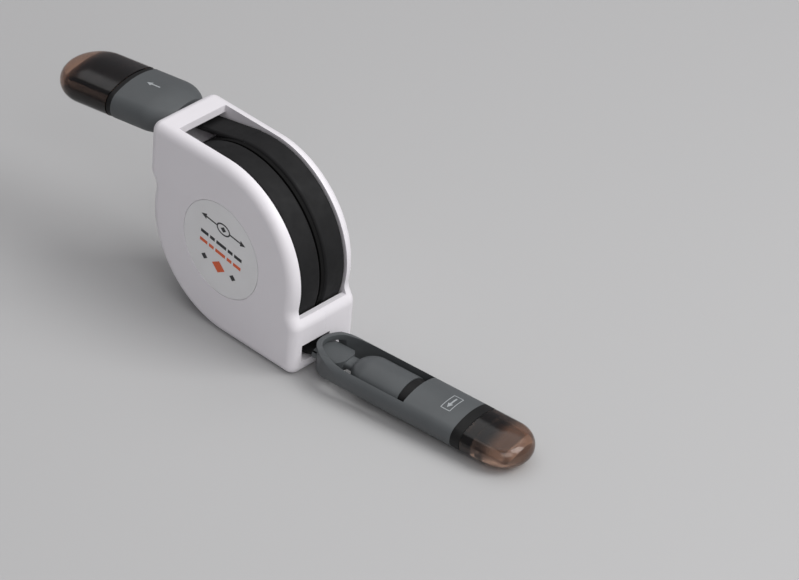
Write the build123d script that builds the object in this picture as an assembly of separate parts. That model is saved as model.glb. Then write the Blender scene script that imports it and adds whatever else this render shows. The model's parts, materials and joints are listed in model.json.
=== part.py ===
from build123d import *
import os
from math import acos, atan2, cos, hypot, radians, sin, sqrt

# Retractable charging cable: a two-half reel case with a spring reel, two flat ribbons wound
# side by side, a full-size plug and a small plug that carries a two-in-one adapter.
# Millimetres, +Z up. The reel axis lies along Y, the label faces -Y, and the case stands on
# its flat bottom edge at Z = 0.

# Ribbon and its coils
ribbon_width = 5.5
ribbon_thickness = 1.25
turn_pitch = 1.28
turns = 3
ribbon_edge = 0.45

# Reel
hub_radius = 16.9
hub_wall = 1.6
hub_face = 2.4
flange_thickness = 0.8
flange_gap = 0.25
flange_inset = 0.2
side_clearance = 0.2
end_clearance = 0.2
running_clearance = 0.05
axle_radius = 2.5
bearing_ring_wall = 1.2
bearing_ring_height = 1.5

# Case
plate_thickness = 2.4
rim_cover = 0.26
edge_roundover = 2.2
coil_clearance = 0.3
ear_overhang = 0.8
ear_lean = 0.8
ear_wall_height = 12.2
ear_slant_angle = 30.0
ear_corner_radius = 2.4
ear_blend_radius = 3.0
bridge_length = 6.2
bridge_height = 13.7
bridge_skin = 1.6
ear_wall = 1.5
window_lip = 3.2
window_height = 4.2
window_overlap = 1.3
peg_radius = 1.0
peg_length = 2.5
peg_inset = 2.0
peg_clearance = 0.05

# Label and axle screw
label_radius = 10.9
label_thickness = 0.25
label_recess = 0.3
label_clearance = 0.15
screw_radius = 1.0
screw_length = 8.0
screw_head_radius = 2.1
screw_head_height = 1.1
screw_head_clearance = 0.1
screw_cross_width = 0.6
screw_cross_depth = 0.6

# Ratchet
ball_radius = 1.0
track_outer_radius = 11.6
track_inner_radius = 8.4
track_clearance = 0.15
track_floor_clearance = 0.05
pocket_length = 1.6
pocket_angles = (100.0, 220.0)

# Power spring
spring_thickness = 0.3
spring_turns = 4
spring_inner_gap = 0.7
spring_outer_gap = 0.5
spring_end_gap = 0.4
spring_tang_depth = 0.8
tang_clearance = 0.2

# Both plugs
oval_end_share = 0.8
plug_gap = 0.3
neck_width = 6.5
neck_height = 2.5
pocket_depth = 1.0
pocket_clearance = 0.25
lead_insert = 0.3
lead_clearance = 0.1
contact_thickness = 0.08

# Full-size plug
usb_yaw = 7.0
usb_droop = 3.3
usb_exit_side = 3.2
usb_exit_drop = 4.8
usb_width = 16.0
usb_height = 7.8
usb_neck_length = 0.6
usb_grip_length = 14.0
usb_rear_depth = 6.3
usb_collar_length = 1.3
usb_collar_inset = 0.1
usb_cap_length = 16.8
usb_cap_gap = 0.1
usb_shell_width = 12.0
usb_shell_height = 4.5
usb_shell_reach = 12.0
usb_shell_wall = 0.3
usb_shell_corner = 0.6
usb_shell_clearance = 0.25
usb_hole_width = 2.2
usb_hole_length = 2.4
usb_hole_spacing = 4.6
usb_hole_from_mouth = 4.2
usb_tongue_height = 1.9
usb_tongue_inset = 1.0
usb_contact_width = 1.0
usb_contact_length = 7.0
usb_contact_places = (-3.5, -1.0, 1.0, 3.5)

# Small plug
adapter_yaw = 7.5
adapter_droop = 2.1
adapter_exit_side = -1.8
adapter_exit_height = 5.3
neck_start = 0.3
lobe_end = 7.6
lobe_round = 2.6
waist_width = 3.6
waist_height = 2.0
boot_start = 9.2
boot_width = 9.2
boot_height = 6.3
boot_rear_depth = 4.4
micro_collar_length = 2.2
micro_collar_inset = 0.2
micro_shell_width = 6.85
micro_shell_height = 1.8
micro_shell_reach = 5.6
micro_shell_wall = 0.25
micro_shell_corner = 0.4
micro_insert_height = 0.5

# Adapter
adapter_width = 12.8
adapter_height = 6.7
loop_round_length = 11.0
loop_side_stretch = 1.44
loop_wall = 1.2
loop_length = 25.0
mating_gap = 0.1
neck_slot_clearance = 0.3
sleeve_body_length = 12.6
socket_clearance = 0.1
socket_wall = 0.25
socket_depth = 6.2
socket_tongue_width = 4.0
socket_tongue_height = 0.5
socket_tongue_length = 4.6
adapter_collar_length = 2.3
shoulder_width = 9.8
shoulder_height = 4.2
shoulder_length = 2.0
tip_width = 6.7
tip_height = 1.5
tip_length = 6.8
tip_corner = 0.7
tip_contact_count = 8
tip_contact_pitch = 0.65
tip_contact_width = 0.4
tip_contact_length = 2.6
adapter_cap_length = 12.4
adapter_cap_gap = 0.1
cap_pocket_clearance = 0.3

# Sizes worked out from the driving dimensions
coil_radius = hub_radius + turns * turn_pitch
layer_centre = flange_thickness / 2 + flange_gap + ribbon_width / 2
case_inner = layer_centre + ribbon_width / 2 + side_clearance
case_half = case_inner + plate_thickness
case_radius = coil_radius + rim_cover
ear_reach = case_radius + ear_overhang
ear_end = ear_reach - ear_lean
bridge_inner = ear_end - bridge_length
hub_half = case_inner - end_clearance
chamber_radius = hub_radius - hub_wall
chamber_front = -hub_half + hub_face
ring_front = case_inner - end_clearance - bearing_ring_height
track_half = ball_radius + track_clearance
track_depth = ball_radius - end_clearance / 2 + track_floor_clearance
track_middle = (track_inner_radius + track_outer_radius) / 2
track_step = track_outer_radius - track_inner_radius
window_floor = case_radius - window_lip - window_height
usb_grip_end = usb_neck_length + usb_grip_length
usb_mouth = usb_grip_end + usb_collar_length
sleeve_end = loop_length + sleeve_body_length
adapter_mouth = sleeve_end + adapter_collar_length
micro_mouth = loop_length - mating_gap
reel_place = Pos(0, 0, case_radius)
half_turn = Rot(0, 180, 0)


def slab(sketch, y_start, y_end):
    """A sketch drawn in X and Z, made solid between two depths along Y."""
    return extrude(Plane.XZ.offset(-y_end) * sketch, y_end - y_start)


def oval(width, height):
    """A four-arc oval: two small end arcs joined by two flatter arcs, tangent to each other."""
    half_width = width / 2
    half_height = height / 2
    end_radius = oval_end_share * half_height
    end_centre = half_width - end_radius
    flat_radius = (end_centre**2 + half_height**2 - end_radius**2) / (2 * (half_height - end_radius))
    flat_centre = half_height - flat_radius
    share = flat_radius / (flat_radius - end_radius)
    join_x = end_centre * share
    join_y = flat_centre * (1 - share)
    return make_face(
        [
            ThreePointArc((-join_x, join_y), (0, half_height), (join_x, join_y)),
            ThreePointArc((join_x, join_y), (half_width, 0), (join_x, -join_y)),
            ThreePointArc((join_x, -join_y), (0, -half_height), (-join_x, -join_y)),
            ThreePointArc((-join_x, -join_y), (-half_width, 0), (-join_x, join_y)),
        ]
    )


def bar(section, start, length):
    """A section drawn across a plug, made solid along the plug's own X axis."""
    return extrude(Plane.YZ.offset(start) * section, length)


def turned_end(place, width, height, way):
    """Half an oval turned about its upright axis: a round end that runs on from an oval bar."""
    half = oval(width, height) & Pos(width / 2, 0) * Rectangle(width, 2 * height)
    upright = Axis((place, 0, 0), (0, 0, -way))
    return revolve(Plane.YZ.offset(place) * half, upright, 180)


def rounded_rear(back, depth, width, height):
    """The round back of a grip: a turned end, cut off flat at its back."""
    turned = turned_end(back + depth, width, height, -1)
    return turned & bar(Rectangle(2 * width, 2 * height), back, depth)


def case_outline():
    """The case seen from the front: a circle with two square ears, alike after half a turn."""
    lean = radians(ear_slant_angle)
    corner = (-ear_end, case_radius)
    knee = (-ear_reach, case_radius - ear_wall_height)
    towards = knee[0] * sin(lean) - knee[1] * cos(lean)
    run = -towards - sqrt(towards**2 - (hypot(*knee) ** 2 - case_radius**2))
    heel = (knee[0] + run * sin(lean), knee[1] - run * cos(lean))
    ear = make_face(Polyline((0, 0), (0, case_radius), corner, knee, heel, close=True))
    outline = Circle(case_radius) + ear + Rot(0, 0, 180) * ear
    outline = round_corners(outline, corner, ear_corner_radius)
    outline = round_corners(outline, knee, ear_blend_radius)
    return round_corners(outline, heel, ear_blend_radius)


def round_corners(sketch, point, radius):
    """Round the sketch corner at a point and the one opposite it across the centre."""
    near = 0.01
    chosen = []
    for vertex in sketch.vertices():
        direct = hypot(vertex.X - point[0], vertex.Y - point[1])
        opposite = hypot(vertex.X + point[0], vertex.Y + point[1])
        if min(direct, opposite) < near:
            chosen.append(vertex)
    return fillet(chosen, radius)


def case_half_shell():
    """The front half: a rounded plate with half of each bridge."""
    outline = case_outline()
    plate = slab(outline, -case_half, -case_inner)
    plate = fillet(plate.faces().sort_by(Axis.Y)[0].edges(), edge_roundover)
    width = ear_reach - bridge_inner
    zone = Pos(-bridge_inner - width / 2, case_radius - bridge_height / 2) * Rectangle(width, bridge_height)
    zone = zone - Circle(coil_radius + coil_clearance)
    bridge = slab(outline & zone, -case_inner, 0)
    return plate + bridge + half_turn * bridge


def exit_windows():
    """The hollow under each bridge, and the window through its end wall beside its own ribbon."""
    window_top = window_floor + window_height
    hollow_end = ear_end - ear_wall
    hollow = make_face(
        Polyline(
            (-hollow_end, window_floor),
            (-hollow_end, window_top),
            (-bridge_inner, case_radius - bridge_skin),
            (-bridge_inner, window_floor),
            close=True,
        )
    )
    depth = ear_reach - hollow_end
    window = Pos(-hollow_end - depth / 2, window_floor + window_height / 2) * Rectangle(depth, window_height)
    way_out = slab(hollow, -case_inner, case_inner)
    usb_way = way_out + slab(window, -window_overlap, case_inner)
    adapter_way = way_out + slab(window, -case_inner, window_overlap)
    return usb_way + half_turn * adapter_way


def pegs(radius, length):
    """The two locating pegs beside the exit windows, from the parting plane forward."""
    peg = Pos(-ear_reach + peg_inset, window_floor - peg_inset) * Circle(radius)
    peg = slab(peg, -length, 0)
    return peg + half_turn * peg


def ball_slot():
    """The radial slot under the reel axis in which the ball moves."""
    return Pos(0, -track_middle) * SlotCenterToCenter(track_step, 2 * track_half, rotation=90)


def front_cover():
    cover = case_half_shell() - exit_windows()
    cover -= slab(Circle(label_radius + label_clearance), -case_half, -case_half + label_recess)
    head_floor = -case_half + label_recess + screw_head_height
    cover -= slab(Circle(screw_head_radius + screw_head_clearance), -case_half, head_floor)
    cover -= slab(Circle(screw_radius), -case_half, -case_inner)
    cover -= slab(ball_slot(), -case_inner - track_depth, -case_inner)
    return cover - pegs(peg_radius + peg_clearance, peg_length + peg_clearance)


def rear_cover():
    cover = mirror(case_half_shell(), Plane.XZ) - exit_windows()
    cover += slab(Circle(axle_radius), -case_inner, case_inner)
    ring_radius = chamber_radius - running_clearance
    ring = Circle(ring_radius) - Circle(ring_radius - bearing_ring_wall)
    cover += slab(ring, ring_front, case_inner)
    cover += pegs(peg_radius, peg_length)
    head_floor = -case_half + label_recess + screw_head_height
    cover -= slab(Circle(screw_radius), -case_inner, head_floor + screw_length)
    slot_length = axle_radius
    slot = Pos(slot_length / 2, 0) * Rectangle(slot_length, spring_thickness + 2 * tang_clearance)
    return cover - slab(slot, spring_front() - tang_clearance, spring_rear() + tang_clearance)


def front_label():
    back = -case_half + label_recess
    return slab(Circle(label_radius), back - label_thickness, back)


def axle_screw():
    head_front = -case_half + label_recess
    head_floor = head_front + screw_head_height
    screw = slab(Circle(screw_head_radius), head_front, head_floor)
    screw += slab(Circle(screw_radius), head_floor, head_floor + screw_length)
    cross = Rectangle(2 * screw_radius, screw_cross_width) + Rectangle(screw_cross_width, 2 * screw_radius)
    return screw - slab(cross, head_front, head_front + screw_cross_depth)


def ratchet_track():
    """Two round tracks joined by a gate under the axis, with blind lock pockets between them."""
    track = Circle(track_outer_radius + track_half) - Circle(track_outer_radius - track_half)
    track += Circle(track_inner_radius + track_half) - Circle(track_inner_radius - track_half)
    track += ball_slot()
    for angle in pocket_angles:
        reach = Pos(0, -track_inner_radius - pocket_length / 2)
        pocket = reach * SlotCenterToCenter(pocket_length, 2 * track_half, rotation=90)
        track += Rot(0, 0, angle) * pocket
    return track


def reel():
    body = slab(Circle(hub_radius), -hub_half, hub_half)
    body += slab(Circle(coil_radius - flange_inset), -flange_thickness / 2, flange_thickness / 2)
    body -= slab(Circle(chamber_radius), chamber_front, hub_half)
    body -= slab(Circle(axle_radius + running_clearance), -hub_half, chamber_front)
    body -= slab(ratchet_track(), -hub_half, -hub_half + track_depth)
    notch_width = spring_thickness + 2 * tang_clearance
    notch_length = 2 * (spring_tang_depth + tang_clearance)
    notch = Pos(chamber_radius, 0) * Rectangle(notch_length, notch_width)
    return body - slab(notch, chamber_front, hub_half)


def spring_front():
    return chamber_front + spring_end_gap


def spring_rear():
    return ring_front - spring_end_gap


def power_spring():
    """A flat spiral of half rings with a tang in the axle's slot and one in the hub's notch."""
    inner = axle_radius + spring_inner_gap
    outer = chamber_radius - spring_outer_gap
    pitch = (outer - inner) / spring_turns
    half = spring_thickness / 2
    field = 4 * chamber_radius
    spiral = Sketch()
    for turn in range(spring_turns):
        radius = inner + turn * pitch
        upper = Circle(radius + half) - Circle(radius - half)
        spiral += upper & Pos(0, field / 2) * Rectangle(field, field)
        wide = radius + pitch / 2
        lower = Circle(wide + half) - Circle(wide - half)
        spiral += Pos(pitch / 2, 0) * (lower & Pos(0, -field / 2) * Rectangle(field, field))
    tang_end = screw_radius + tang_clearance
    spiral += Pos((tang_end + inner) / 2, 0) * Rectangle(inner - tang_end, spring_thickness)
    outer_end = chamber_radius + spring_tang_depth
    spiral += Pos((outer + outer_end) / 2, 0) * Rectangle(outer_end - outer, spring_thickness)
    return slab(spiral, spring_front(), spring_rear())


def ratchet_ball():
    depth = -case_inner + end_clearance / 2
    return Pos(0, depth, -track_outer_radius) * Sphere(ball_radius)


def coil(side):
    """One wound ribbon, its outer rims eased like the ribbon's own edges."""
    start = side * layer_centre - ribbon_width / 2
    wound = slab(Circle(coil_radius) - Circle(hub_radius), start, start + ribbon_width)
    rims = wound.edges().filter_by(GeomType.CIRCLE).group_by(SortBy.RADIUS)[-1]
    return chamfer(rims, ribbon_edge)


def lead(end_point, side):
    """A flat ribbon from its tangent on top of a coil, out to the left to a point on a plug."""
    centre_radius = coil_radius - ribbon_thickness / 2
    reach = hypot(end_point.X, end_point.Z)
    touch_angle = atan2(end_point.Z, end_point.X) - acos(centre_radius / reach)
    touch_x = centre_radius * cos(touch_angle)
    touch_z = centre_radius * sin(touch_angle)
    touch = Vector(touch_x, side * layer_centre, touch_z)
    run = end_point - touch
    frame = Plane(origin=touch, x_dir=run, z_dir=Vector(0, 1, 0).cross(run))
    from_touch = (Align.MIN, Align.CENTER, Align.CENTER)
    ribbon = frame.location * Box(run.length, ribbon_width, ribbon_thickness, align=from_touch)
    return ribbon - slab(Circle(coil_radius + lead_clearance), -case_half, case_half)


def plug_plane(origin, direction):
    """A plug's own frame: X along the plug, away from the case, Z as upright as it can be."""
    upright = Vector(0, 0, 1)
    tilted = upright - direction * upright.dot(direction)
    return Plane(origin=origin, x_dir=direction, z_dir=tilted)


def usb_plane():
    yaw = radians(usb_yaw)
    droop = radians(usb_droop)
    direction = Vector(-cos(yaw) * cos(droop), -sin(yaw) * cos(droop), -sin(droop))
    origin = Vector(-ear_reach - plug_gap, usb_exit_side, case_radius - usb_exit_drop)
    return plug_plane(origin, direction)


def adapter_plane():
    yaw = radians(adapter_yaw)
    droop = radians(adapter_droop)
    direction = Vector(cos(yaw) * cos(droop), sin(yaw) * cos(droop), -sin(droop))
    origin = Vector(ear_reach + plug_gap, adapter_exit_side, adapter_exit_height - case_radius)
    return plug_plane(origin, direction)


def lead_pocket(start):
    """The mouth at the back of a plug that takes the ribbon's end."""
    mouth = Rectangle(ribbon_width + 2 * pocket_clearance, ribbon_thickness + 2 * pocket_clearance)
    return bar(mouth, start, pocket_depth)


def usb_grip():
    straight = usb_neck_length + usb_rear_depth
    grip = rounded_rear(usb_neck_length, usb_rear_depth, usb_width, usb_height)
    grip += bar(oval(usb_width, usb_height), straight, usb_grip_end - straight)
    grip += bar(oval(neck_width, neck_height), 0, straight)
    return grip - lead_pocket(0)


def usb_shell_outline(margin):
    width = usb_shell_width + 2 * margin
    height = usb_shell_height + 2 * margin
    return RectangleRounded(width, height, usb_shell_corner + margin)


def usb_collar():
    section = oval(usb_width - 2 * usb_collar_inset, usb_height - 2 * usb_collar_inset)
    return bar(section - usb_shell_outline(0), usb_grip_end, usb_collar_length)


def usb_shell():
    tube = usb_shell_outline(0) - usb_shell_outline(-usb_shell_wall)
    shell = bar(tube, usb_grip_end, usb_collar_length + usb_shell_reach)
    hole_x = usb_mouth + usb_shell_reach - usb_hole_from_mouth - usb_hole_length / 2
    for side in (-1, 1):
        hole = Box(usb_hole_length, usb_hole_width, 2 * usb_shell_height)
        shell -= Pos(hole_x, side * usb_hole_spacing / 2, 0) * hole
    return shell


def usb_tongue():
    width = usb_shell_width - 2 * usb_shell_wall
    place = (usb_tongue_height - usb_shell_height) / 2 + usb_shell_wall
    section = Pos(0, place) * Rectangle(width - 2 * usb_shell_corner, usb_tongue_height)
    length = usb_collar_length + usb_shell_reach - usb_tongue_inset
    return bar(section, usb_grip_end, length)


def usb_contacts():
    top = usb_shell_wall - usb_shell_height / 2 + usb_tongue_height
    front = usb_mouth + usb_shell_reach - 2 * usb_tongue_inset
    strips = Part()
    for place in usb_contact_places:
        section = Pos(place, top + contact_thickness / 2) * Rectangle(usb_contact_width, contact_thickness)
        strips += bar(section, front - usb_contact_length, usb_contact_length)
    return strips


def usb_cap():
    start = usb_mouth + usb_cap_gap
    straight = usb_cap_length - usb_width / 2
    cap = bar(oval(usb_width, usb_height), start, straight)
    cap += turned_end(start + straight, usb_width, usb_height, 1)
    depth = usb_shell_reach + usb_shell_clearance - usb_cap_gap
    return cap - bar(usb_shell_outline(usb_shell_clearance), start, depth)


def micro_boot():
    straight = boot_start + boot_rear_depth
    boot = rounded_rear(boot_start, boot_rear_depth, boot_width, boot_height)
    boot += bar(oval(boot_width, boot_height), straight, micro_mouth - micro_collar_length - straight)
    waist_start = lobe_end - lobe_round
    boot += bar(oval(waist_width, waist_height), waist_start, straight - waist_start)
    return boot + neck_lobe() - lead_pocket(neck_start)


def neck_lobe():
    """The strain relief behind the small plug: a flat lobe with a rounded front end."""
    length = lobe_end - neck_start
    plan = Pos(neck_start + length / 2, 0) * Rectangle(length, neck_width)
    plan = fillet(plan.vertices().group_by(Axis.X)[-1], lobe_round)
    lobe = bar(oval(neck_width, neck_height), neck_start, length)
    return lobe & extrude(plan, neck_height, both=True)


def micro_shell_outline(margin):
    width = micro_shell_width + 2 * margin
    height = micro_shell_height + 2 * margin
    return RectangleRounded(width, height, micro_shell_corner + margin)


def micro_collar():
    section = oval(boot_width - 2 * micro_collar_inset, boot_height - 2 * micro_collar_inset)
    start = micro_mouth - micro_collar_length
    return bar(section - micro_shell_outline(0), start, micro_collar_length)


def micro_shell():
    tube = micro_shell_outline(0) - micro_shell_outline(-micro_shell_wall)
    start = micro_mouth - micro_collar_length
    return bar(tube, start, micro_collar_length + micro_shell_reach)


def micro_insert():
    width = micro_shell_width - 2 * micro_shell_wall - 2 * micro_shell_corner
    place = micro_shell_height / 2 - micro_shell_wall - micro_insert_height / 2
    section = Pos(0, place) * Rectangle(width, micro_insert_height)
    start = micro_mouth - micro_collar_length
    return bar(section, start, micro_collar_length + micro_shell_reach - micro_insert_height)


def loop_plan(margin, end):
    """The sleeve seen from above: straight sides and a long rounded end beside the case."""
    half_width = adapter_width / 2 - margin
    straight = end - loop_round_length
    plan = Pos(loop_round_length + straight / 2, 0) * Rectangle(straight, 2 * half_width)
    return plan + Pos(loop_round_length, 0) * Ellipse(loop_round_length - margin, half_width)


def loop_side():
    """The sleeve seen from the side: its height falls off towards the loop's end."""
    straight = sleeve_end - loop_round_length
    side = Pos(loop_round_length + straight / 2, 0) * Rectangle(straight, adapter_height)
    side += Pos(loop_round_length, 0) * Ellipse(loop_side_stretch * loop_round_length, adapter_height / 2)
    return slab(side, -adapter_width, adapter_width)


def adapter_sleeve():
    barrel = bar(oval(adapter_width, adapter_height), 0, sleeve_end)
    barrel &= extrude(loop_plan(0, sleeve_end), adapter_height, both=True)
    barrel &= loop_side()
    loop_zone = Pos(loop_length / 2, 0) * Rectangle(loop_length, adapter_width)
    opening = loop_plan(loop_wall, loop_length) & loop_zone
    barrel -= extrude(opening, adapter_height, both=True)
    slot = Rectangle(neck_width + 2 * neck_slot_clearance, neck_height + 2 * neck_slot_clearance)
    barrel -= bar(slot, 0, loop_round_length)
    return barrel - bar(socket_outline(), loop_length, socket_depth)


def socket_outline():
    return micro_shell_outline(socket_clearance + socket_wall)


def socket_shell():
    tube = bar(socket_outline(), loop_length, socket_depth)
    return tube - bar(micro_shell_outline(socket_clearance), loop_length, socket_depth - socket_wall)


def socket_tongue():
    root = loop_length + socket_depth - socket_wall
    section = Pos(0, -socket_tongue_height / 2) * Rectangle(socket_tongue_width, socket_tongue_height)
    return bar(section, root - socket_tongue_length, socket_tongue_length)


def adapter_collar():
    collar = bar(oval(adapter_width, adapter_height), sleeve_end, adapter_collar_length)
    collar += bar(oval(shoulder_width, shoulder_height), adapter_mouth, shoulder_length)
    return collar


def adapter_tip():
    start = adapter_mouth + shoulder_length
    tab = bar(Rectangle(tip_width, tip_height), start, tip_length)
    front = tab.faces().sort_by(Axis.X)[-1]
    return fillet(front.edges(), tip_corner)


def tip_contacts():
    start = adapter_mouth + shoulder_length + tip_length - 2 * tip_contact_length
    strips = Part()
    for index in range(tip_contact_count):
        place = (index - (tip_contact_count - 1) / 2) * tip_contact_pitch
        for side in (-1, 1):
            level = side * (tip_height + contact_thickness) / 2
            section = Pos(place, level) * Rectangle(tip_contact_width, contact_thickness)
            strips += bar(section, start, tip_contact_length)
    return strips


def adapter_cap():
    start = adapter_mouth + adapter_cap_gap
    straight = adapter_cap_length - adapter_width / 2
    cap = bar(oval(adapter_width, adapter_height), start, straight)
    cap += turned_end(start + straight, adapter_width, adapter_height, 1)
    gap = 2 * cap_pocket_clearance
    shoulder_seat = oval(shoulder_width + gap, shoulder_height + gap)
    cap -= bar(shoulder_seat, start, shoulder_length + cap_pocket_clearance)
    tab_seat = RectangleRounded(tip_width + gap, tip_height + gap, cap_pocket_clearance)
    return cap - bar(tab_seat, start, shoulder_length + tip_length + cap_pocket_clearance)


usb_frame = usb_plane()
adapter_frame = adapter_plane()
usb_lead_end = usb_frame.origin + usb_frame.x_dir * lead_insert
adapter_lead_end = adapter_frame.origin + adapter_frame.x_dir * (neck_start + lead_insert)
opposite_end = Vector(-adapter_lead_end.X, adapter_lead_end.Y, -adapter_lead_end.Z)

reel_pieces = {
    "front_cover": front_cover(),
    "rear_cover": rear_cover(),
    "front_label": front_label(),
    "axle_screw": axle_screw(),
    "reel": reel(),
    "power_spring": power_spring(),
    "ratchet_ball": ratchet_ball(),
    "usb_coil": coil(1),
    "adapter_coil": coil(-1),
    "usb_lead": lead(usb_lead_end, 1),
    "adapter_lead": half_turn * lead(opposite_end, -1),
}
usb_pieces = {
    "usb_grip": usb_grip(),
    "usb_collar": usb_collar(),
    "usb_shell": usb_shell(),
    "usb_tongue": usb_tongue(),
    "usb_contacts": usb_contacts(),
    "usb_cap": usb_cap(),
}
adapter_pieces = {
    "micro_boot": micro_boot(),
    "micro_collar": micro_collar(),
    "micro_shell": micro_shell(),
    "micro_insert": micro_insert(),
    "adapter_sleeve": adapter_sleeve(),
    "socket_shell": socket_shell(),
    "socket_tongue": socket_tongue(),
    "adapter_collar": adapter_collar(),
    "adapter_tip": adapter_tip(),
    "tip_contacts": tip_contacts(),
    "adapter_cap": adapter_cap(),
}

os.makedirs("parts", exist_ok=True)
for name, piece in reel_pieces.items():
    export_step(reel_place * piece, f"parts/{name}.step")
for name, piece in usb_pieces.items():
    export_step(reel_place * usb_frame.location * piece, f"parts/{name}.step")
for name, piece in adapter_pieces.items():
    export_step(reel_place * adapter_frame.location * piece, f"parts/{name}.step")
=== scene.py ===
import json
import math

import bmesh
import bpy
from mathutils import Matrix, Vector


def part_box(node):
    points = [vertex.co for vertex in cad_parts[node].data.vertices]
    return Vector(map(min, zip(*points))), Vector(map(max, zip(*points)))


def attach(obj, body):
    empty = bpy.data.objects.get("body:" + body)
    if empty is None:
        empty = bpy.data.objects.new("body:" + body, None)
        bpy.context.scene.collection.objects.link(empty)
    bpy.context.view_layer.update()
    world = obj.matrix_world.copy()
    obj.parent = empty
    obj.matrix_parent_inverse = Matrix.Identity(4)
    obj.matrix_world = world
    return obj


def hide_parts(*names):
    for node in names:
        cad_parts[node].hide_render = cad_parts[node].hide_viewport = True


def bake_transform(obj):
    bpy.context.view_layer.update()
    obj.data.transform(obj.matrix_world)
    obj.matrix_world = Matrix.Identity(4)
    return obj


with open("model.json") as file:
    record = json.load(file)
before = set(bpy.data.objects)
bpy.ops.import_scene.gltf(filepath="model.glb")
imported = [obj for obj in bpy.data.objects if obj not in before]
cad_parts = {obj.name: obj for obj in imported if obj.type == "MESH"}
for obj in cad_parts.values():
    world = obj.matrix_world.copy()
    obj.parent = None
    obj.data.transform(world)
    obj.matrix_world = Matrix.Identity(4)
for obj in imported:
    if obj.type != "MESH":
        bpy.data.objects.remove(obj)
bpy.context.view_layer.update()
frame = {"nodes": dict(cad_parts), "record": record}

# Retractable charging cable, dressed and lit. Metres, +Z up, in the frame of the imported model.
# The reel axis lies along Y, the label faces -Y, and the case stands on the floor at Z = 0.

MM = 0.001
nodes = frame["nodes"]

# The photograph's camera: where it stands round the label's centre and how large a metre is there
IMAGE_WIDTH = 799
IMAGE_HEIGHT = 580
CAMERA_AZIMUTH = 47.3
CAMERA_ELEVATION = 35.4
CAMERA_DISTANCE = 0.9
PIXELS_PER_METRE = 4970.0
LABEL_PIXEL = (220.5, 250.0)
SENSOR_WIDTH = 36.0

# The room: soft lamps (name, place, side in metres, power in watts), an even world and a floor
LAMPS = (
    ("key", (0.50, 0.25, 0.60), 0.45, 3.6),
    ("top", (-0.10, 0.15, 0.80), 1.00, 2.7),
    ("fill", (0.75, -0.35, 0.60), 0.60, 2.9),
)
LAMP_TARGET = (0.01, 0, 0.02)
WORLD_COLOUR = (0.97, 0.95, 1.0)
WORLD_STRENGTH = 0.26
FLOOR_COLOUR = (0.47, 0.47, 0.47)
FLOOR_ROUGHNESS = 0.75
FLOOR_REACH = 3.0

# Surface noise: the part of its range in use, its detail, and how much gloss and relief follow it
NOISE_RANGE = (0.3, 0.7)
MOTTLE_DETAIL = 3
GLOSS_DETAIL = 4
GRAIN_DETAIL = 2
GLOSS_FINENESS = 2.3
GLOSS_SWING = 0.12
GRAIN_STRENGTH = 0.35

# Sockets of a Mix node that mixes colours
MIX_FIRST_COLOUR = 6
MIX_SECOND_COLOUR = 7
MIX_RESULT_COLOUR = 2

# White case: a thin clear gloss over the plastic
CASE_COAT = 0.12
CASE_COAT_ROUGHNESS = 0.12

# Smoky caps: a paler, cloudier nose, and painted shade that darkens the cap round the pocket; the change is
# counted from the plug's tip
CAP_NOSE = (0.42, 0.25, 0.175)
CAP_POCKET_PAINTED_SHADE = (0.085, 0.055, 0.042)
CAP_NOSE_CLEARNESS = 0.85
CAP_ROUGHNESS = 0.15
CAP_SPECULAR = 0.3
CAP_IOR = 1.46
USB_CAP_CHANGE = (-2.2 * MM, 0.8 * MM)
ADAPTER_CAP_CHANGE = (-4.6 * MM, -1.4 * MM)

# How far the sharp edges of each kind of solid are broken
EDGE_BREAKS = {
    "case_plastic": 0.12 * MM,
    "ribbon_sheath": 0.20 * MM,
    "grip_plastic": 0.15 * MM,
    "collar_plastic": 0.12 * MM,
    "smoky_plastic": 0.10 * MM,
}
EDGE_SEGMENTS = 2
WELD_DISTANCE = 0.001 * MM
SHARP_ANGLE = math.radians(35)

# Ribbon leads: from the coil's tangent through the ear's window to the mouth of each plug
RIBBON_THICKNESS = 1.25 * MM
RIBBON_EDGE_RADIUS = 0.45 * MM
RIBBON_EDGE_STEPS = 4
RIBBON_LIFT = 0.012 * MM
RINGS_INSIDE = 16
RINGS_OUTSIDE = 48
USB_LEAD_FROM_MOUNT = 27.6 * MM
ADAPTER_LEAD_FROM_MOUNT = 48.1 * MM
CASE_WALL_X = 21.35 * MM

# Ink: a thin film just off the surface, and where the marks on the plugs lie
INK_THICKNESS = 0.015 * MM
INK_LIFT = 0.005 * MM
USB_MARK_FROM_MOUNT = 18.5 * MM
ADAPTER_MARK_FROM_MOUNT = 15.5 * MM
RAY_START_HEIGHT = 10 * MM

# The label's design, in millimetres from the label's centre; pairs are half width and half height
LABEL_TILT = -8.7
LINE_WIDTH = 0.35
SIGN_LEVEL = 5.4
SIGN_OVAL = (2.0, 1.4)
SIGN_HUB = (0.8, 0.7)
SIGN_BAR_CENTRE = 3.5
SIGN_BAR_LENGTH = 3.0
SIGN_HEAD_BASE = 5.0
SIGN_HEAD_LENGTH = 1.5
SIGN_HEAD_WIDTH = 1.4
OVAL_PIECES = 24
BLACK_ROW_LEVEL = 1.2
RED_ROW_LEVEL = -1.0
DASH_HEIGHT = 0.8
DASH_GAP = 0.5
DASH_LENGTHS = (2.2, 1.4, 2.9, 1.4, 2.2)
LOZENGE_LEVEL = -4.6
LOZENGE_ASIDE = 4.2
SMALL_LOZENGE = (0.9, 0.8)
LARGE_LOZENGE = (1.9, 1.5)

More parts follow.
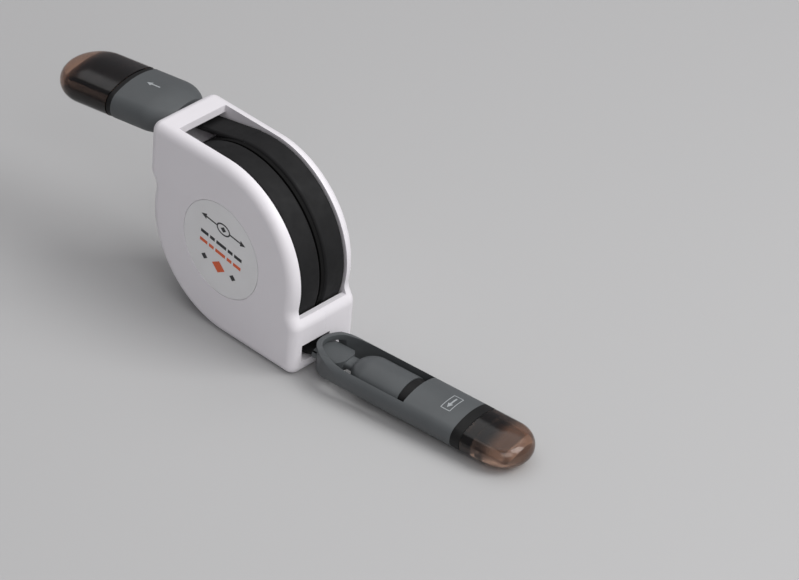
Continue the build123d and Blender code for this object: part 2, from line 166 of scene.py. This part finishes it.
# The plugs' marks, in millimetres: an arrow along the one, an arrow in a tag across the other
POINTER_BAR_CENTRE = -0.5
POINTER_BAR_LENGTH = 2.2
POINTER_HEAD_BASE = 0.6
POINTER_HEAD_LENGTH = 1.3
POINTER_HEAD_WIDTH = 1.2
TAG_HALF_LENGTH = 1.1
TAG_HALF_WIDTH = 2.3
TAG_LINE = LINE_WIDTH / 2
TAG_ARROW_TAIL = 1.6
TAG_ARROW_BASE = -0.5
TAG_ARROW_TIP = -1.7
TAG_ARROW_HALF_WIDTH = 0.6
RULE_PIECES = 8


def mount_named(name):
    return next(mount for mount in frame["record"]["mounts"] if mount["name"] == name)


def mount_axis(name):
    return Vector(mount_named(name)["axis"])


def mount_point(name, back):
    """A point on a plug's axis, counted back from its mount towards the case."""
    return Vector(mount_named(name)["pos_m"]) - mount_axis(name) * back


def label_centre():
    low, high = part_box("front_label")
    return (low[0] + high[0]) / 2, (low[2] + high[2]) / 2


def noise_texture(tree, scale, detail, stretch=(1, 1, 1)):
    """Noise in the object's own metres, so that its grain has a real size."""
    coordinates = tree.nodes.new("ShaderNodeTexCoord")
    mapping = tree.nodes.new("ShaderNodeMapping")
    mapping.inputs["Scale"].default_value = stretch
    noise = tree.nodes.new("ShaderNodeTexNoise")
    noise.inputs["Scale"].default_value = scale
    noise.inputs["Detail"].default_value = detail
    tree.links.new(coordinates.outputs["Object"], mapping.inputs["Vector"])
    tree.links.new(mapping.outputs["Vector"], noise.inputs["Vector"])
    return noise.outputs["Fac"]


def carried_over(tree, value, source, result, interpolation="LINEAR"):
    """A value of the source range, carried over to the result range and kept within it."""
    carry = tree.nodes.new("ShaderNodeMapRange")
    carry.interpolation_type = interpolation
    carry.inputs["From Min"].default_value, carry.inputs["From Max"].default_value = source
    carry.inputs["To Min"].default_value, carry.inputs["To Max"].default_value = result
    tree.links.new(value, carry.inputs["Value"])
    return carry.outputs["Result"]


def colour_mix(tree, factor, first, second):
    """A mix of two colours. The second may also be the output of another node."""
    mix = tree.nodes.new("ShaderNodeMix")
    mix.data_type = "RGBA"
    mix.inputs[MIX_FIRST_COLOUR].default_value = (*first, 1)
    if isinstance(second, bpy.types.NodeSocket):
        tree.links.new(second, mix.inputs[MIX_SECOND_COLOUR])
    else:
        mix.inputs[MIX_SECOND_COLOUR].default_value = (*second, 1)
    tree.links.new(factor, mix.inputs["Factor"])
    return mix.outputs[MIX_RESULT_COLOUR]


def shader_of(material):
    return material.node_tree.nodes["Principled BSDF"]


def finish_material(name, colour, roughness, mottle, grain, stretch=(1, 1, 1)):
    """A moulded surface: a little mottle in colour and gloss, and a fine grain in relief.

    The mottle is a share of the colour and a noise scale, the grain a depth and a noise scale.
    """
    mottle_share, mottle_scale = mottle
    grain_depth, grain_scale = grain
    material = bpy.data.materials.new(name)
    material.use_nodes = True
    tree = material.node_tree
    shader = shader_of(material)
    cloud = noise_texture(tree, mottle_scale, MOTTLE_DETAIL)
    paler = [min(1, channel * (1 + mottle_share)) for channel in colour]
    darker = [channel * (1 - mottle_share) for channel in colour]
    tint = colour_mix(tree, carried_over(tree, cloud, NOISE_RANGE, (0, 1)), darker, paler)
    tree.links.new(tint, shader.inputs["Base Color"])
    sheen = noise_texture(tree, mottle_scale * GLOSS_FINENESS, GLOSS_DETAIL)
    gloss_range = (roughness * (1 - GLOSS_SWING), roughness * (1 + GLOSS_SWING))
    tree.links.new(carried_over(tree, sheen, NOISE_RANGE, gloss_range), shader.inputs["Roughness"])
    bump = tree.nodes.new("ShaderNodeBump")
    bump.inputs["Strength"].default_value = GRAIN_STRENGTH
    bump.inputs["Distance"].default_value = grain_depth
    tree.links.new(noise_texture(tree, grain_scale, GRAIN_DETAIL, stretch), bump.inputs["Height"])
    tree.links.new(bump.outputs["Normal"], shader.inputs["Normal"])
    return material


def dull_material(name, colour, roughness, specular, mottle, grain, stretch=(1, 1, 1)):
    """A moulded surface that mirrors little of its surroundings."""
    material = finish_material(name, colour, roughness, mottle, grain, stretch)
    shader_of(material).inputs["Specular IOR Level"].default_value = specular
    return material


def metal_material(name, colour, roughness):
    material = finish_material(name, colour, roughness, mottle=(0.05, 300), grain=(0.003 * MM, 2500))
    shader_of(material).inputs["Metallic"].default_value = 1
    return material


def ink_material(name, colour, mottle_share):
    return finish_material(name, colour, 0.5, mottle=(mottle_share, 300), grain=(0.004 * MM, 3000))


def case_material():
    material = finish_material(
        "white_gloss", (0.80, 0.775, 0.805), 0.42, mottle=(0.01, 60), grain=(0.006 * MM, 900)
    )
    shader = shader_of(material)
    shader.inputs["Coat Weight"].default_value = CASE_COAT
    shader.inputs["Coat Roughness"].default_value = CASE_COAT_ROUGHNESS
    return material


def ribbon_material():
    """Black flat cable: its grain is drawn out along the run, so it is fine only across the width."""
    return dull_material(
        "ribbon_black", (0.0105, 0.0105, 0.011), 0.68, specular=0.22,
        mottle=(0.14, 180), grain=(0.02 * MM, 60), stretch=(1, 30, 1),
    )


def cap_material(name, mount_name, change_span):
    """Smoky clear plastic, tinted by the distance along its plug: painted shade darkens it round the
    pocket, and the nose is paler and cloudier.
    """
    material = finish_material(name, CAP_NOSE, CAP_ROUGHNESS, mottle=(0.06, 90), grain=(0.003 * MM, 700))
    tree = material.node_tree
    shader = shader_of(material)
    axis = mount_axis(mount_name)
    tip = mount_point(mount_name, 0).dot(axis)
    coordinates = tree.nodes.new("ShaderNodeTexCoord")
    along = tree.nodes.new("ShaderNodeVectorMath")
    along.operation = "DOT_PRODUCT"
    along.inputs[1].default_value = axis
    tree.links.new(coordinates.outputs["Object"], along.inputs[0])
    change_range = (tip + change_span[0], tip + change_span[1])
    nose_share = carried_over(tree, along.outputs["Value"], change_range, (0, 1), "SMOOTHSTEP")
    nose_colour = shader.inputs["Base Color"].links[0].from_socket
    # Painted shade: the cap's colour darkens towards the case, round the pocket
    tint = colour_mix(tree, nose_share, CAP_POCKET_PAINTED_SHADE, nose_colour)
    tree.links.new(tint, shader.inputs["Base Color"])
    clearness = carried_over(tree, nose_share, (0, 1), (1, CAP_NOSE_CLEARNESS))
    tree.links.new(clearness, shader.inputs["Transmission Weight"])
    shader.inputs["Specular IOR Level"].default_value = CAP_SPECULAR
    shader.inputs["IOR"].default_value = CAP_IOR
    return material


MATERIALS = {
    "case_plastic": case_material(),
    "label_film": finish_material(
        "label_film", (0.80, 0.80, 0.805), 0.38, mottle=(0.02, 150), grain=(0.006 * MM, 2200)
    ),
    "steel": metal_material("bare_steel", (0.50, 0.50, 0.51), 0.36),
    "reel_plastic": dull_material(
        "reel_black", (0.006, 0.006, 0.006), 0.75, specular=0.10,
        mottle=(0.10, 120), grain=(0.02 * MM, 1500),
    ),
    "ribbon_sheath": ribbon_material(),
    "grip_plastic": finish_material(
        "soft_touch_grey", (0.080, 0.087, 0.0905), 0.48, mottle=(0.05, 140), grain=(0.015 * MM, 3200)
    ),
    "collar_plastic": dull_material(
        "collar_black", (0.007, 0.007, 0.007), 0.50, specular=0.25,
        mottle=(0.10, 160), grain=(0.01 * MM, 2400),
    ),
    "plated_shell": metal_material("plated_shell", (0.22, 0.21, 0.205), 0.22),
    "insulator": finish_material(
        "insulator_black", (0.016, 0.016, 0.018), 0.5, mottle=(0.1, 200), grain=(0.01 * MM, 2000)
    ),
    "gold_contact": metal_material("gold_contact", (0.83, 0.62, 0.27), 0.22),
}
CAP_MATERIALS = {
    "usb_cap": cap_material("usb_smoky_clear", "full_size_plug", USB_CAP_CHANGE),
    "adapter_cap": cap_material("adapter_smoky_clear", "adapter_tip", ADAPTER_CAP_CHANGE),
}
BLACK_INK = ink_material("black_ink", (0.02, 0.02, 0.022), 0.08)
RED_INK = ink_material("red_ink", (0.74, 0.12, 0.032), 0.06)
PALE_INK = ink_material("pale_ink", (0.34, 0.36, 0.37), 0.05)


def break_edges(node, width):
    """Round a solid's sharp edges a little, which also opens a fine groove where two halves meet."""
    weld = node.modifiers.new("weld", "WELD")
    weld.merge_threshold = WELD_DISTANCE
    bevel = node.modifiers.new("edge_break", "BEVEL")
    bevel.width = width
    bevel.segments = EDGE_SEGMENTS
    bevel.limit_method = "ANGLE"
    bevel.angle_limit = SHARP_ANGLE
    split = node.modifiers.new("sharp_edges", "EDGE_SPLIT")
    split.split_angle = SHARP_ANGLE
    split.use_edge_sharp = False


def dress_nodes():
    """Give every solid its material, and true normals on its flat faces; break the edges that show."""
    for part in frame["record"]["subparts"]:
        node = nodes[part["node"]]
        slot = part["material_slot"]
        node.data.materials.clear()
        node.data.materials.append(CAP_MATERIALS.get(part["node"]) or MATERIALS[slot])
        if slot in EDGE_BREAKS:
            break_edges(node, EDGE_BREAKS[slot])
        normals = node.modifiers.new("flat_normals", "WEIGHTED_NORMAL")
        normals.keep_sharp = True


def linked_object(name, data):
    made = bpy.data.objects.new(name, data)
    bpy.context.scene.collection.objects.link(made)
    return made


def solid_object(name, mesh_builder, material, smooth):
    mesh = bpy.data.meshes.new(name)
    mesh_builder.to_mesh(mesh)
    mesh_builder.free()
    for polygon in mesh.polygons:
        polygon.use_smooth = smooth
    mesh.materials.append(material)
    return linked_object(name, mesh)


# All printed shapes are lists of outlines in millimetres


def bar(x, z, length, height):
    """A plain bar, centred on a place."""
    left, right = x - length / 2, x + length / 2
    bottom, top = z - height / 2, z + height / 2
    return [[(left, bottom), (right, bottom), (right, top), (left, top)]]


def oval_line(x, z, half_width, half_height):
    """A line round an oval, in short pieces."""
    outlines = []
    for piece in range(OVAL_PIECES):
        outline = []
        for step, inset in ((piece, 0), (piece + 1, 0), (piece + 1, LINE_WIDTH), (piece, LINE_WIDTH)):
            turn = 2 * math.pi * step / OVAL_PIECES
            across = (half_width - inset) * math.cos(turn)
            height = (half_height - inset) * math.sin(turn)
            outline.append((x + across, z + height))
        outlines.append(outline)
    return outlines


def arrowhead(x, z, length, height):
    """A triangle with its base at x; a negative length points it to the left."""
    return [[(x, z - height / 2), (x + length, z), (x, z + height / 2)]]


def lozenge(x, z, half_width, half_height):
    return [[(x - half_width, z), (x, z - half_height), (x + half_width, z), (x, z + half_height)]]


def dash_row(z):
    """A centred row of plain dashes."""
    outlines = []
    x = -(sum(DASH_LENGTHS) + DASH_GAP * (len(DASH_LENGTHS) - 1)) / 2
    for length in DASH_LENGTHS:
        outlines += bar(x + length / 2, z, length, DASH_HEIGHT)
        x += length + DASH_GAP
    return outlines


def reel_sign():
    """A reel with an arrow either way."""
    sign = oval_line(0, SIGN_LEVEL, *SIGN_OVAL) + lozenge(0, SIGN_LEVEL, *SIGN_HUB)
    for way in (-1, 1):
        sign += bar(way * SIGN_BAR_CENTRE, SIGN_LEVEL, SIGN_BAR_LENGTH, LINE_WIDTH)
        sign += arrowhead(way * SIGN_HEAD_BASE, SIGN_LEVEL, way * SIGN_HEAD_LENGTH, SIGN_HEAD_WIDTH)
    return sign


def pointer():
    """A small plain arrow along the plug."""
    shaft = bar(POINTER_BAR_CENTRE, 0, POINTER_BAR_LENGTH, LINE_WIDTH)
    return shaft + arrowhead(POINTER_HEAD_BASE, 0, POINTER_HEAD_LENGTH, POINTER_HEAD_WIDTH)


def cross_rule(x, z_start, z_end, width):
    """A thin line across the plug, in short pieces so that it follows the curved face."""
    step = (z_end - z_start) / RULE_PIECES
    outlines = []
    for piece in range(RULE_PIECES):
        outlines += bar(x, z_start + step * (piece + 0.5), width, step)
    return outlines


def tag():
    """A plain outlined tag with an arrow in it, laid across the plug."""
    outlines = []
    for x in (-TAG_HALF_LENGTH, TAG_HALF_LENGTH):
        outlines += cross_rule(x, -TAG_HALF_WIDTH, TAG_HALF_WIDTH, TAG_LINE)
    for z in (-TAG_HALF_WIDTH, TAG_HALF_WIDTH):
        outlines += bar(0, z, 2 * TAG_HALF_LENGTH, TAG_LINE)
    outlines += cross_rule(0, TAG_ARROW_BASE, TAG_ARROW_TAIL, LINE_WIDTH)
    left = (-TAG_ARROW_HALF_WIDTH, TAG_ARROW_BASE)
    right = (TAG_ARROW_HALF_WIDTH, TAG_ARROW_BASE)
    return outlines + [[left, (0, TAG_ARROW_TIP), right]]


def put_in_order(faces):
    """Order faces by their corners, because solidify leaves them in another order each run."""
    by_corners = sorted(faces, key=lambda face: sorted(vert.co.to_tuple() for vert in face.verts))
    order = {face: index for index, face in enumerate(by_corners)}
    faces.sort(key=order.get)


def printed(name, outlines, on_surface, normal, material, body):
    """Thin ink: outlines carried onto a surface by on_surface, lifted a hair along its normal."""
    builder = bmesh.new()
    ink_top = normal * (INK_LIFT + INK_THICKNESS)
    for outline in outlines:
        builder.faces.new([builder.verts.new(on_surface(x * MM, z * MM) + ink_top) for x, z in outline])
    bmesh.ops.remove_doubles(builder, verts=builder.verts, dist=INK_LIFT / 10)
    for face in builder.faces:
        face.normal_update()
        if face.normal.dot(normal) < 0:
            face.normal_flip()
    bmesh.ops.solidify(builder, geom=builder.faces, thickness=INK_THICKNESS)
    put_in_order(builder.faces)
    shape = solid_object(name, builder, material, smooth=False)
    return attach(shape, body)


def print_label():
    """A generic design on the round label: a reel with an arrow either way, plain dashes and lozenges."""
    centre_x, centre_z = label_centre()
    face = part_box("front_label")[0][1]
    tilt = math.radians(LABEL_TILT)

    def on_label(x, z):
        across = x * math.cos(tilt) - z * math.sin(tilt)
        height = x * math.sin(tilt) + z * math.cos(tilt)
        return Vector((centre_x + across, face, centre_z + height))

    black = reel_sign() + dash_row(BLACK_ROW_LEVEL)
    for way in (-1, 1):
        black += lozenge(way * LOZENGE_ASIDE, LOZENGE_LEVEL, *SMALL_LOZENGE)
    red = dash_row(RED_ROW_LEVEL) + lozenge(0, LOZENGE_LEVEL, *LARGE_LOZENGE)
    front = Vector((0, -1, 0))
    printed("label_black_print", black, on_label, front, BLACK_INK, "case")
    printed("label_red_print", red, on_label, front, RED_INK, "case")


def print_on_plug(name, node, mount_name, back, outlines, body):
    """A small generic mark on top of a plug, laid on its curved face."""
    centre = mount_point(mount_name, back)
    axis = mount_axis(mount_name)
    side = Vector((0, 0, 1)).cross(axis).normalized()
    up = axis.cross(side)

    def on_plug(x, z):
        above = centre + axis * x + side * z + up * RAY_START_HEIGHT
        hit, point = nodes[node].ray_cast(above, -up)[:2]
        if not hit:
            raise ValueError(name)
        return point

    return printed(name, outlines, on_plug, up, PALE_INK, body)


def ribbon_section(width):
    """The flat ribbon's outline across its run, with rounded edges."""
    half_width = width / 2 - RIBBON_EDGE_RADIUS
    half_height = RIBBON_THICKNESS / 2 - RIBBON_EDGE_RADIUS
    outline = []
    for quarter, (side, level) in enumerate(((1, 1), (-1, 1), (-1, -1), (1, -1))):
        for step in range(RIBBON_EDGE_STEPS + 1):
            turn = math.radians(90 * (quarter + step / RIBBON_EDGE_STEPS))
            across = side * half_width + RIBBON_EDGE_RADIUS * math.cos(turn)
            height = level * half_height + RIBBON_EDGE_RADIUS * math.sin(turn)
            outline.append((across, height))
    return outline


def ribbon_lead(name, coil, solid, end):
    """A ribbon that peels off its coil and leaves by the window for its plug."""
    low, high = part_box(coil)
    coil_radius = (high[0] - low[0]) / 2
    axis_height = (low[2] + high[2]) / 2
    layer = (low[1] + high[1]) / 2
    width = high[1] - low[1]

    # The straight run starts where it touches the middle of the coil's outer turn
    middle_radius = coil_radius - RIBBON_THICKNESS / 2
    reach = math.hypot(end.x, end.z - axis_height)
    angle = math.atan2(end.z - axis_height, end.x) - math.acos(middle_radius / reach)
    touch_height = axis_height + middle_radius * math.sin(angle)
    touch = Vector((middle_radius * math.cos(angle), layer, touch_height))
    run = end - touch
    outward = Vector((0, 1, 0)).cross(run).normalized()
    across = outward.cross(run).normalized()
    wall_share = (math.copysign(CASE_WALL_X, end.x) - touch.x) / run.x
    shares = [wall_share * step / RINGS_INSIDE for step in range(RINGS_INSIDE)]
    shares += [wall_share + (1 - wall_share) * step / RINGS_OUTSIDE for step in range(RINGS_OUTSIDE + 1)]

    # What would lie within the coil is pressed out to just above its face and its rounded rims
    builder = bmesh.new()
    rings = []
    for share in shares:
        ring = []
        for aside, height in ribbon_section(width):
            corner = touch + run * share + across * aside + outward * height
            from_axis = Vector((corner.x, 0, corner.z - axis_height))
            rim_drop = max(0, abs(aside) - (width / 2 - RIBBON_EDGE_RADIUS))
            surface = coil_radius - rim_drop + RIBBON_LIFT
            if from_axis.length < surface:
                from_axis *= surface / from_axis.length
                corner = Vector((from_axis.x, corner.y, axis_height + from_axis.z))
            ring.append(builder.verts.new(corner))
        rings.append(ring)
    for end_face in (builder.faces.new(rings[0]), builder.faces.new(rings[-1])):
        for edge in end_face.edges:
            edge.smooth = False
    for first, second in zip(rings, rings[1:]):
        for index in range(len(first)):
            after = (index + 1) % len(first)
            builder.faces.new((first[index], first[after], second[after], second[index]))
    bmesh.ops.recalc_face_normals(builder, faces=builder.faces)
    ribbon = solid_object(name, builder, MATERIALS["ribbon_sheath"], smooth=True)
    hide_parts(solid)
    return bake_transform(ribbon)


def make_camera():
    """A camera that sees the label where the photograph has it, from the same side and at the same size."""
    azimuth = math.radians(CAMERA_AZIMUTH)
    elevation = math.radians(CAMERA_ELEVATION)
    right = Vector((math.cos(azimuth), math.sin(azimuth), 0))
    level_back = Vector((math.sin(azimuth), -math.cos(azimuth), 0))
    back = level_back * math.cos(elevation) + Vector((0, 0, math.sin(elevation)))
    up = back.cross(right)
    centre_x, centre_z = label_centre()
    label = Vector((centre_x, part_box("front_cover")[0][1], centre_z))
    aside = (IMAGE_WIDTH / 2 - LABEL_PIXEL[0]) / PIXELS_PER_METRE
    below = (IMAGE_HEIGHT / 2 - LABEL_PIXEL[1]) / PIXELS_PER_METRE
    target = label + right * aside - up * below
    camera_data = bpy.data.cameras.new("camera")
    camera_data.sensor_width = SENSOR_WIDTH
    camera_data.lens = PIXELS_PER_METRE * CAMERA_DISTANCE / IMAGE_WIDTH * SENSOR_WIDTH
    camera = linked_object("camera", camera_data)
    camera.location = label + back * CAMERA_DISTANCE
    facing_label = Matrix((right, up, back)).transposed().to_quaternion()
    turn_aside = (-back).rotation_difference(target - camera.location)
    camera.rotation_mode = "QUATERNION"
    camera.rotation_quaternion = turn_aside @ facing_label
    bpy.context.scene.camera = camera


def area_light(name, position, side, power):
    light = bpy.data.lights.new(name, "AREA")
    light.shape = "SQUARE"
    light.size = side
    light.energy = power
    lamp = linked_object(name, light)
    lamp.location = position
    lamp.rotation_mode = "QUATERNION"
    lamp.rotation_quaternion = (Vector(LAMP_TARGET) - Vector(position)).to_track_quat("-Z", "Y")


def make_floor():
    low, high = -FLOOR_REACH, FLOOR_REACH
    corners = [(low, low, 0), (high, low, 0), (high, high, 0), (low, high, 0)]
    floor_mesh = bpy.data.meshes.new("floor")
    floor_mesh.from_pydata(corners, [], [(0, 1, 2, 3)])
    floor_material = bpy.data.materials.new("pale_floor")
    floor_material.use_nodes = True
    shader = shader_of(floor_material)
    shader.inputs["Base Color"].default_value = (*FLOOR_COLOUR, 1)
    shader.inputs["Roughness"].default_value = FLOOR_ROUGHNESS
    floor_mesh.materials.append(floor_material)
    floor = linked_object("floor", floor_mesh)


def make_room():
    world = bpy.data.worlds.new("studio")
    world.use_nodes = True
    background = world.node_tree.nodes["Background"]
    background.inputs["Color"].default_value = (*WORLD_COLOUR, 1)
    background.inputs["Strength"].default_value = WORLD_STRENGTH
    bpy.context.scene.world = world
    bpy.context.scene.view_settings.view_transform = "Standard"
    for lamp in LAMPS:
        area_light(*lamp)
    make_floor()


dress_nodes()
usb_end = mount_point("full_size_plug", USB_LEAD_FROM_MOUNT)
adapter_end = mount_point("adapter_tip", ADAPTER_LEAD_FROM_MOUNT)
ribbon_lead("usb_ribbon", "usb_coil", "usb_lead", usb_end)
ribbon_lead("adapter_ribbon", "adapter_coil", "adapter_lead", adapter_end)
print_label()
print_on_plug("usb_mark", "usb_grip", "full_size_plug", USB_MARK_FROM_MOUNT, pointer(), "usb_plug")
print_on_plug("adapter_mark", "adapter_sleeve", "adapter_tip", ADAPTER_MARK_FROM_MOUNT, tag(), "adapter")
make_camera()
make_room()
